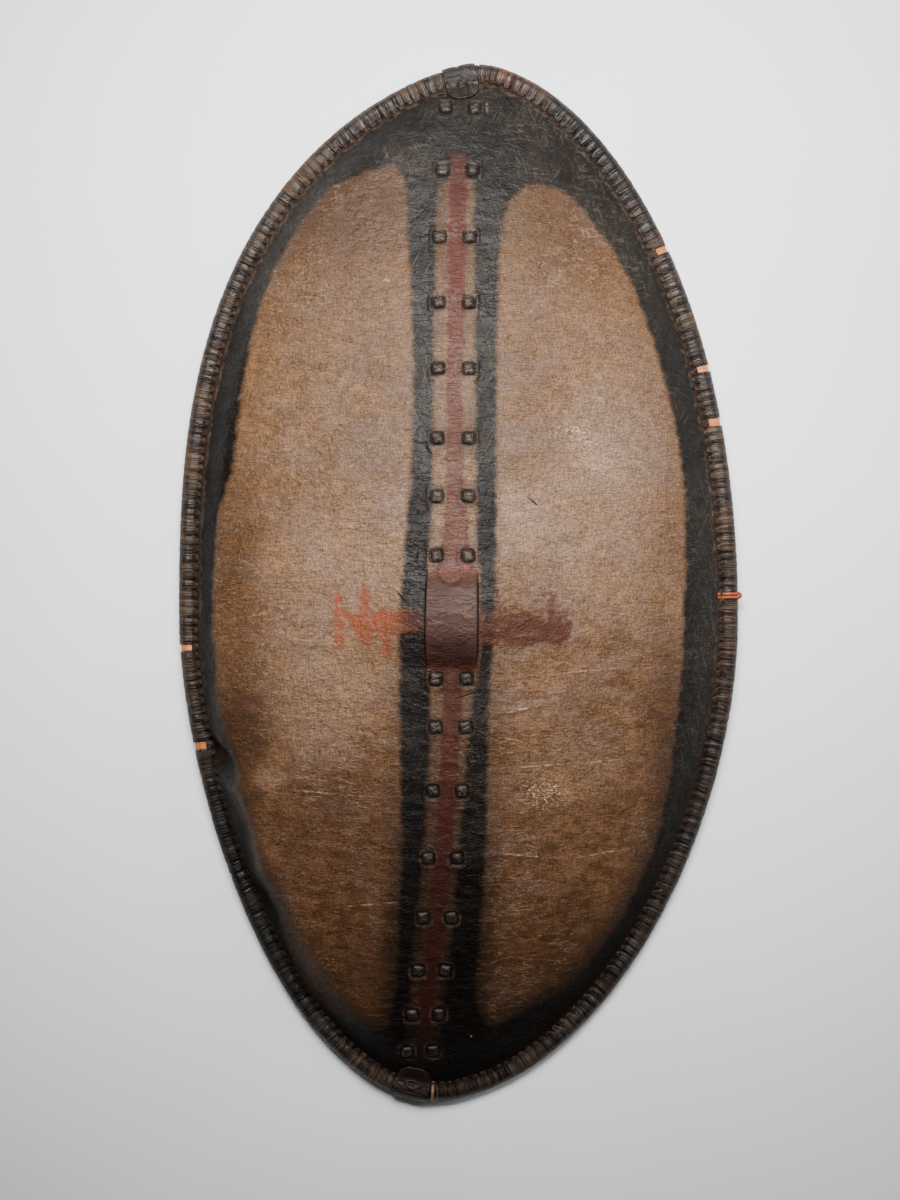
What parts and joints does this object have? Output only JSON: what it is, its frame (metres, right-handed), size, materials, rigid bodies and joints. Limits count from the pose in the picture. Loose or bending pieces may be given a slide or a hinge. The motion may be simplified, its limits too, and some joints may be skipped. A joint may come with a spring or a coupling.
{
  "type": "hide shield",
  "caption": "Oval domed rawhide shield with a stitched leather rim, a wooden stave and hand grip behind, and painted stripes. It lies face up on its rim.",
  "frame": {"origin": "middle of the bounding box, on the ground plane that the rim lies on", "axes": "+X to the right of the painted face, +Y towards its top, +Z out of the painted face, up as it lies"},
  "size_m": [0.5956, 1.1073, 0.1499],
  "materials": {
    "hide": "dry rawhide, painted",
    "binding": "smooth, worn",
    "thong": "dry",
    "wrap": "smooth, worn",
    "tie": "dry",
    "wood": "hand-worn"
  },
  "bodies": {
    "root": {"hide": "hide", "rim_binding": "binding", "top_wrap": "wrap", "top_wrap_knot": "thong", "foot_wrap": "wrap", "foot_wrap_knot": "thong", "stave": "wood", "thong_01": "thong", "thong_02": "thong", "thong_03": "thong", "thong_04": "thong", "thong_05": "thong", "thong_06": "thong", "thong_07": "thong", "thong_08": "thong", "thong_09": "thong", "thong_10": "thong", "thong_11": "thong", "thong_12": "thong", "thong_13": "thong", "thong_14": "thong", "thong_15": "thong", "thong_16": "thong", "side_tie": "tie", "foot_tie": "tie"}
  },
  "joints": []
}
